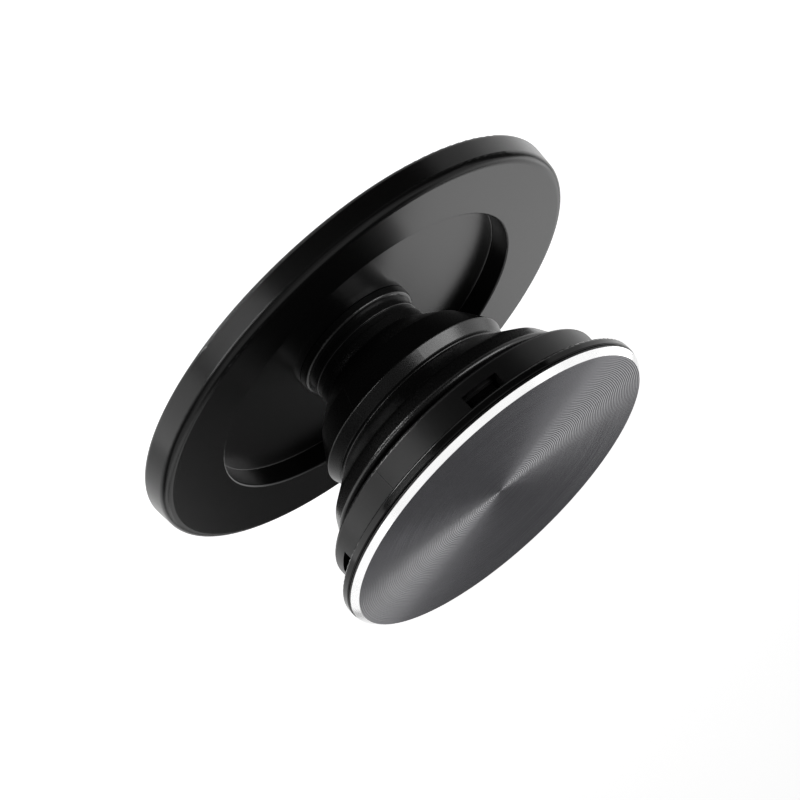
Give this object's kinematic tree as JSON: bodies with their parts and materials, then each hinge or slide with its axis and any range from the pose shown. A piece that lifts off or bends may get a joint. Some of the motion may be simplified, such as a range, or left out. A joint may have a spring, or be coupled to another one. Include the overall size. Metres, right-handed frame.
{
  "type": "collapsible phone grip",
  "caption": "Round collapsible phone grip: wide magnet base with a well, ribbed accordion stem that pushes flat, and a disc cap with a bevelled metal face.",
  "frame": {"origin": "centre of the back pad's face, which meets the phone", "axes": "+Z along the stem from the phone to the cap; +X through one of the collar's windows"},
  "size_m": [0.057, 0.057, 0.0259],
  "materials": {
    "base_plastic": "fine satin moulded black plastic",
    "pad_rubber": "matt black soft-touch pad",
    "magnet_nickel": "nickel-plated magnet",
    "plug_plastic": "moulded black plastic",
    "accordion_rubber": "satin black elastomer",
    "collar_plastic": "semi-gloss moulded black plastic",
    "cap_plastic": "semi-gloss moulded black plastic",
    "film_adhesive": "thin black adhesive film",
    "face_aluminium": "black anodised aluminium, turned in fine rings, with a bright cut bevel"
  },
  "bodies": {
    "base": {"base": "base_plastic", "back_pad": "pad_rubber", "magnet_01": "magnet_nickel", "magnet_02": "magnet_nickel", "magnet_03": "magnet_nickel", "magnet_04": "magnet_nickel", "magnet_05": "magnet_nickel", "magnet_06": "magnet_nickel", "magnet_07": "magnet_nickel", "magnet_08": "magnet_nickel", "magnet_09": "magnet_nickel", "magnet_10": "magnet_nickel", "magnet_11": "magnet_nickel", "magnet_12": "magnet_nickel", "magnet_13": "magnet_nickel", "magnet_14": "magnet_nickel", "magnet_15": "magnet_nickel", "magnet_16": "magnet_nickel"},
    "stem": {"accordion": "accordion_rubber", "swivel_plug": "plug_plastic"},
    "top": {"collar": "collar_plastic", "cap": "cap_plastic", "face_film": "film_adhesive", "face_plate": "face_aluminium"}
  },
  "joints": [
    {"name": "swivel", "type": "hinge", "parent": "base", "child": "stem", "pos_m": [0, 0, 0.00155], "axis": [0, 0, 1], "continuous": true},
    {"name": "collapse", "type": "slide", "parent": "stem", "child": "top", "axis": [0, 0, 1], "range_m": [-0.018, 0], "deforming": ["accordion"]}
  ]
}
